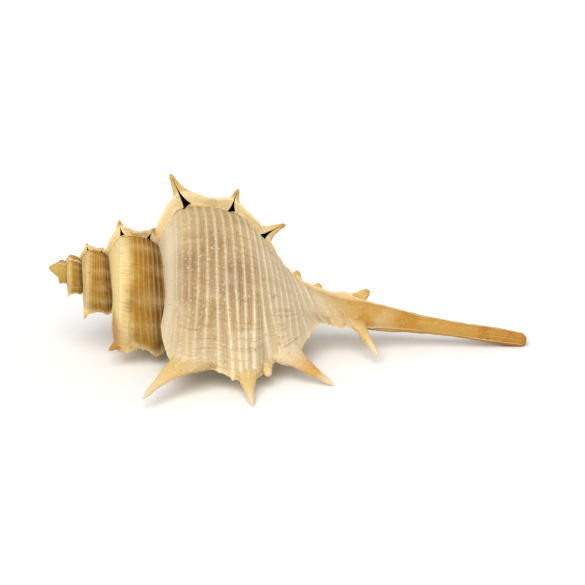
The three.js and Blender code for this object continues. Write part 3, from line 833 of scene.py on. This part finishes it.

    # pale specks from the grain: the shell's worn specks, and partly painted glints
    worn = b.smooth(grain, 0.57, 0.68) * b.mix(0.1, 0.6, b.smooth(growth, -0.9, -0.8))
    coat = blend(coat, finish["cream"], worn * (1 - b.smooth(along, 40, 52) * 0.65))
    coat = blend(coat, finish["brown"], b.smooth(dots, 0.68, 0.76) * 0.35)
    coat = blend(coat, finish["flange"], value("rim") * 0.6)
    coat = blend(coat, finish["inside"], value("inside"))
    # painted shade: the spine slits and root pits are coloured near-black
    coat = blend(coat, finish["grooveShade"], b.smooth(value("groove"), 0.2, 0.6))

    rough = 0.52 + grain * 0.2 - value("inside") * 0.25 + value("groove") * 0.4
    height = grain * 0.6 + speck * 0.4 + lines * 0.4
    normal = b.add("ShaderNodeBump", None, Strength=0.5, Distance=0.0003, Height=height)
    inputs = {"Base Color": coat, "Roughness": rough, "Normal": normal, "IOR": 1.5,
              "Specular IOR Level": 0.12}
    surface = b.add("ShaderNodeBsdfPrincipled", None, **inputs)
    outlet = b.tree.nodes.new("ShaderNodeOutputMaterial")
    b.feed(outlet.inputs["Surface"], surface)
    return material


def makeShell():
    guide, *counts = guideMesh()
    grower = bpy.data.objects.new("shellGrower", guide)
    scene.collection.objects.link(grower)
    tree = shellTree(shellFinish(), *counts)
    modifier = grower.modifiers.new("growth", "NODES")
    modifier.node_group = tree
    for item in tree.interface.items_tree:
        if item.in_out == "INPUT" and item.name in inlets:
            modifier[item.identifier] = float(inlets[item.name])
    bpy.context.view_layer.update()
    grown = grower.evaluated_get(bpy.context.evaluated_depsgraph_get())
    mesh = bpy.data.meshes.new_from_object(grown)
    bpy.data.objects.remove(grower)
    mesh.name = "murexShell"
    piece = bpy.data.objects.new("murexShell", mesh)
    scene.collection.objects.link(piece)
    return piece


murex = makeShell()
print("shell grown:", len(murex.data.vertices), "corners,",
      sum(len(face.vertices) - 2 for face in murex.data.polygons), "triangles")
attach(murex, "root")
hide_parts("shell")

studio = {"floorHalf": 2.0, "keyPower": 2.05, "keySpread": 50, "skyStrength": 0.56, "scale": 0.1875e-3,
          "slope": 8.69, "apexPixel": (48.5, 267.5), "distance": 0.8}


def makeFloor():
    half = studio["floorHalf"]
    mesh = bpy.data.meshes.new("floor")
    corners = [(-half, -half, 0), (half, -half, 0), (half, half, 0), (-half, half, 0)]
    mesh.from_pydata(corners, [], [(0, 1, 2, 3)])
    floor = bpy.data.objects.new("floor", mesh)
    scene.collection.objects.link(floor)
    material = bpy.data.materials.new("paleFloor")
    material.use_nodes = True
    shader = material.node_tree.nodes["Principled BSDF"]
    shader.inputs["Base Color"].default_value = (0.97, 0.97, 0.97, 1)
    shader.inputs["Roughness"].default_value = 0.9
    shader.inputs["Specular IOR Level"].default_value = 0.1
    mesh.materials.append(material)


# a wide, even light from above, as from a large soft box
def addLight(name, place, power, colour):
    light = bpy.data.lights.new(name, "SUN")
    light.energy = power
    light.angle = math.radians(studio["keySpread"])
    light.color = colour
    lamp = bpy.data.objects.new(name, light)
    lamp.location = place
    lamp.rotation_euler = (-Vector(place)).to_track_quat("-Z", "Y").to_euler()
    scene.collection.objects.link(lamp)


# the camera looks square at the coiling axis, from the side that the photo shows
def addCamera():
    rest = shell["rest"]
    pitch = Matrix.Rotation(math.radians(rest["pitch"]), 3, "Y")
    turn = pitch @ Matrix.Rotation(math.radians(rest["roll"]), 3, "X")
    slope = math.radians(studio["slope"])
    right = Vector((math.cos(slope), math.sin(slope), 0))
    up = Vector((-math.sin(slope), math.cos(slope), 0))
    back = Vector((0, 0, 1))
    half = 585 / 2
    apexX, apexY = studio["apexPixel"]
    shift = right * (half - apexX) + up * (apexY - half)
    aim = Vector(rest["apex"]) / 1000 + turn @ shift * studio["scale"]
    lens = bpy.data.cameras.new("camera")
    lens.sensor_width = 36
    lens.lens = 36 * studio["distance"] / (585 * studio["scale"])
    lens.clip_end = 10
    camera = bpy.data.objects.new("camera", lens)
    place = (turn @ Matrix((right, up, back)).transposed()).to_4x4()
    place.translation = aim + turn @ back * studio["distance"]
    camera.matrix_world = place
    scene.collection.objects.link(camera)
    scene.camera = camera


makeFloor()
addLight("key", (-0.1, -0.5, 0.7), studio["keyPower"], (1, 0.99, 0.97))
world = bpy.data.worlds.new("studio")
world.use_nodes = True
world.node_tree.nodes["Background"].inputs["Color"].default_value = (1, 1, 1, 1)
world.node_tree.nodes["Background"].inputs["Strength"].default_value = studio["skyStrength"]
scene.world = world
scene.view_settings.view_transform = "Standard"
addCamera()
print("studio set")
